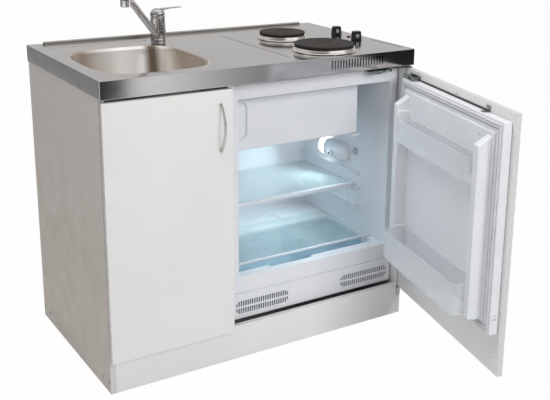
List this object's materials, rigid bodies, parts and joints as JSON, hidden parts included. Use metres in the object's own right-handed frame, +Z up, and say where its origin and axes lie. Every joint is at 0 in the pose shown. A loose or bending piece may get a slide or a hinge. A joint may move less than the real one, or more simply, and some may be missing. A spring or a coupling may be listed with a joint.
{
  "type": "kitchenette unit",
  "caption": "Compact kitchenette: pressed steel top with bowl, mixer tap and solid hotplates over a sink cupboard and an open built-in refrigerator with freezer box.",
  "frame": {"origin": "middle of the plinth's underside, on the floor plane", "axes": "+Z up, -Y towards the user (front), +X to the user's right"},
  "size_m": [1, 1.1917, 1.04],
  "materials": {
    "steel_sheet": "satin stainless sheet, fine hairline grain",
    "white_board": "chipboard with a smooth white melamine coat",
    "chrome_tap": "polished",
    "hinge_steel": "zinc plated, satin",
    "braided_hose": "fine woven wire braid",
    "white_pipe": "smooth moulded",
    "plate_iron": "dark, fine turned rings",
    "ring_steel": "polished stainless rim",
    "tray_steel": "galvanised sheet",
    "black_plastic": "semi-gloss",
    "lamp_amber": "translucent amber",
    "liner_white": "smooth vacuum-formed liner",
    "grille_white": "moulded",
    "clear_plastic": "clear, slightly cool tint",
    "shelf_glass": "clear toughened glass",
    "gasket_rubber": "soft matt seal",
    "grey_plastic": "fine satin",
    "lens_white": "frosted lamp cover",
    "black_steel": "satin black paint",
    "aerator_grey": "satin"
  },
  "bodies": {
    "cabinet": {"worktop": "steel_sheet", "side_panel_left": "white_board", "side_panel_right": "white_board", "plinth": "white_board", "partition": "white_board", "base_panel": "white_board", "back_panel": "white_board", "front_rail": "white_board", "rear_rail": "white_board", "hinge_arm_lower": "hinge_steel", "hinge_arm_upper": "hinge_steel", "waste_fitting": "chrome_tap", "waste_nut": "white_pipe", "bottle_trap": "white_pipe", "mixer_body": "chrome_tap", "mixer_nut": "hinge_steel", "hose_cold": "braided_hose", "hose_hot": "braided_hose", "hotplate_rear": "plate_iron", "hotplate_rear_ring": "ring_steel", "hotplate_front": "plate_iron", "hotplate_front_ring": "ring_steel", "hob_tray": "tray_steel", "hob_switch_rear": "black_plastic", "hob_switch_front": "black_plastic", "hob_lamp": "lamp_amber", "fridge_cabinet": "liner_white", "fridge_grille": "grille_white", "fridge_base": "black_steel", "compressor": "black_steel", "condenser": "black_steel", "freezer_box": "liner_white", "flap_bracket": "liner_white", "crisper": "clear_plastic", "lamp_housing": "grey_plastic", "lamp_lens": "lens_white", "fridge_hinge_upper": "hinge_steel", "fridge_hinge_lower": "hinge_steel"},
    "sink_door": {"cupboard_door": "white_board", "door_handle": "chrome_tap", "hinge_cup_lower": "hinge_steel", "hinge_cup_upper": "hinge_steel"},
    "fridge_leaf": {"furniture_panel": "white_board", "fridge_door": "liner_white", "door_gasket": "gasket_rubber", "bin_upper": "clear_plastic", "bin_lower": "clear_plastic", "panel_bracket": "hinge_steel"},
    "flap": {"freezer_flap": "liner_white"},
    "shelf": {"glass_shelf": "shelf_glass", "shelf_trim": "liner_white"},
    "cover": {"crisper_cover": "shelf_glass"},
    "rear_knob": {"knob_rear": "black_plastic"},
    "front_knob": {"knob_front": "black_plastic"},
    "spout": {"mixer_spout": "chrome_tap", "mixer_aerator": "aerator_grey"},
    "cartridge": {"mixer_cartridge": "grey_plastic"},
    "lever": {"mixer_lever": "chrome_tap"},
    "dial": {"thermostat_dial": "grey_plastic"},
    "switch": {"door_switch": "grey_plastic"}
  },
  "joints": [
    {"name": "sink_door_hinge", "type": "hinge", "parent": "cabinet", "child": "sink_door", "pos_m": [-0.4925, -0.0205, 0.46], "axis": [0, 0, -1], "range_deg": [0, 105]},
    {"name": "fridge_door_hinge", "type": "hinge", "parent": "cabinet", "child": "fridge_leaf", "pos_m": [0.4925, -0.0205, 0.46], "axis": [0, 0, 1], "range_deg": [-77.5, 22.5]},
    {"name": "freezer_flap_hinge", "type": "hinge", "parent": "cabinet", "child": "flap", "pos_m": [0.36, 0.081, 0.685], "axis": [0, 0, 1], "range_deg": [0, 80]},
    {"name": "shelf_slide", "type": "slide", "parent": "cabinet", "child": "shelf", "axis": [0, -1, 0], "range_m": [0, 0.17]},
    {"name": "crisper_cover_slide", "type": "slide", "parent": "cabinet", "child": "cover", "axis": [0, -1, 0], "range_m": [0, 0.08]},
    {"name": "rear_knob_turn", "type": "hinge", "parent": "cabinet", "child": "rear_knob", "pos_m": [0.438, 0.304, 0.89], "axis": [0, 0, -1], "range_deg": [0, 300]},
    {"name": "front_knob_turn", "type": "hinge", "parent": "cabinet", "child": "front_knob", "pos_m": [0.438, 0.192, 0.89], "axis": [0, 0, -1], "range_deg": [0, 300]},
    {"name": "spout_swivel", "type": "hinge", "parent": "cabinet", "child": "spout", "pos_m": [-0.118, 0.474, 0.9], "axis": [0, 0, 1], "range_deg": [-60, 60]},
    {"name": "lever_swivel", "type": "hinge", "parent": "cabinet", "child": "cartridge", "pos_m": [-0.118, 0.474, 0.96], "axis": [0, 0, 1], "range_deg": [-45, 45]},
    {"name": "lever_tilt", "type": "hinge", "parent": "cartridge", "child": "lever", "pos_m": [-0.14118, 0.46779, 0.9545], "axis": [0.2588, -0.9659, 0], "range_deg": [0, 22]},
    {"name": "thermostat_turn", "type": "hinge", "parent": "cabinet", "child": "dial", "pos_m": [0.405, 0.285, 0.484], "axis": [1, 0, 0], "range_deg": [0, 270]},
    {"name": "door_switch_press", "type": "slide", "parent": "cabinet", "child": "switch", "axis": [1, 0, 0], "range_m": [0, 0.005], "stiffness_N_per_m": 150}
  ]
}
